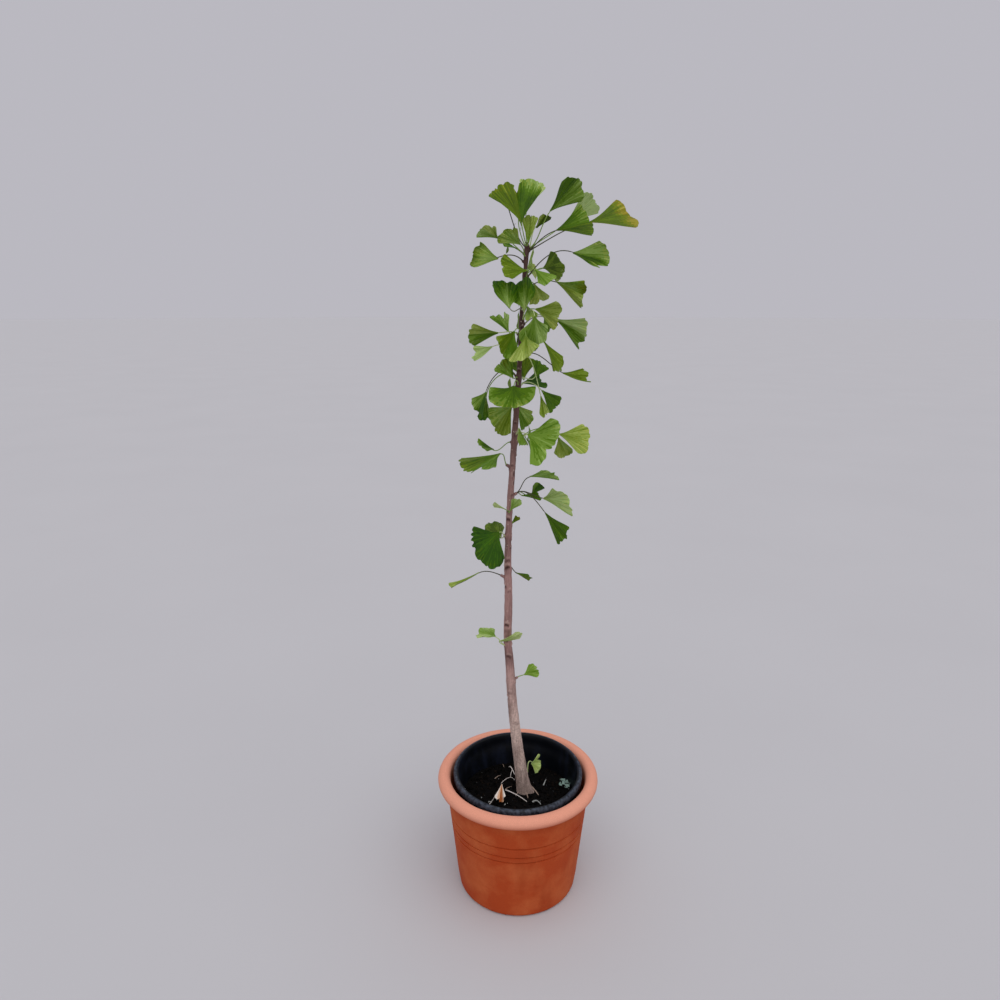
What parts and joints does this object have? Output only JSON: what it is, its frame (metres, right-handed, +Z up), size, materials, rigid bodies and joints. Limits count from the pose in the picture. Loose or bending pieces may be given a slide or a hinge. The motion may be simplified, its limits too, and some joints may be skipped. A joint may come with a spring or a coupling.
{
  "type": "potted ginkgo sapling",
  "caption": "Young ginkgo tree with a slender leaning stem and tufts of fan-shaped leaves, in a black nursery pot set inside a terracotta pot with a rolled rim.",
  "frame": {"origin": "centre of the terracotta pot's flat underside, on the ground", "axes": "+Z up, -Y towards the tree's front, +X to the right of the front"},
  "size_m": [0.2855, 0.2594, 1.1069],
  "materials": {
    "terracotta": "unglazed fired clay, matt, slightly mottled",
    "black_plastic": "moulded black polypropylene, satin",
    "soil": "moist dark peat and bark potting mix",
    "bark": "young grey-brown bark, matt, with corky pores",
    "leaf": "thin leathery green blade, soft sheen"
  },
  "bodies": {
    "root": {"terracotta_pot": "terracotta", "nursery_pot": "black_plastic", "soil": "soil", "stem": "bark", "lower_left_spur": "bark", "lower_right_spur": "bark", "middle_right_spur": "bark", "upper_left_spur": "bark", "upper_right_spur": "bark", "back_leaf_at_600": "leaf", "back_leaves_at_800": "leaf", "back_leaves_at_832": "leaf", "back_leaves_at_950": "leaf", "back_leaves_at_976": "leaf", "foot_sprout_leaf": "leaf", "front_leaf_at_826": "leaf", "front_leaf_at_958": "leaf", "front_leaf_at_980": "leaf", "front_leaves_at_1000": "leaf", "front_leaves_at_637": "leaf", "front_leaves_at_755": "leaf", "front_leaves_at_891": "leaf", "front_leaves_at_916": "leaf", "front_leaves_at_929": "leaf", "left_front_leaves_at_836": "leaf", "left_leaf_at_533": "leaf", "left_leaf_at_600": "leaf", "left_leaf_at_704": "leaf", "left_leaf_at_742": "leaf", "left_leaf_at_870": "leaf", "left_leaf_at_994": "leaf", "left_leaves_at_1004": "leaf", "left_leaves_at_425": "leaf", "left_leaves_at_838": "leaf", "left_leaves_at_896": "leaf", "right_back_leaves_at_661": "leaf", "right_front_leaves_at_661": "leaf", "right_leaf_at_360": "leaf", "right_leaf_at_546": "leaf", "right_leaf_at_616": "leaf", "right_leaf_at_866": "leaf", "right_leaf_at_958": "leaf", "right_leaves_at_742": "leaf", "right_leaves_at_822": "leaf", "right_leaves_at_866": "leaf", "right_leaves_at_910": "leaf", "right_leaves_at_974": "leaf", "top_back_leaves": "leaf", "top_front_leaves": "leaf", "top_right_back_leaves": "leaf", "top_right_front_leaves": "leaf"}
  },
  "joints": []
}
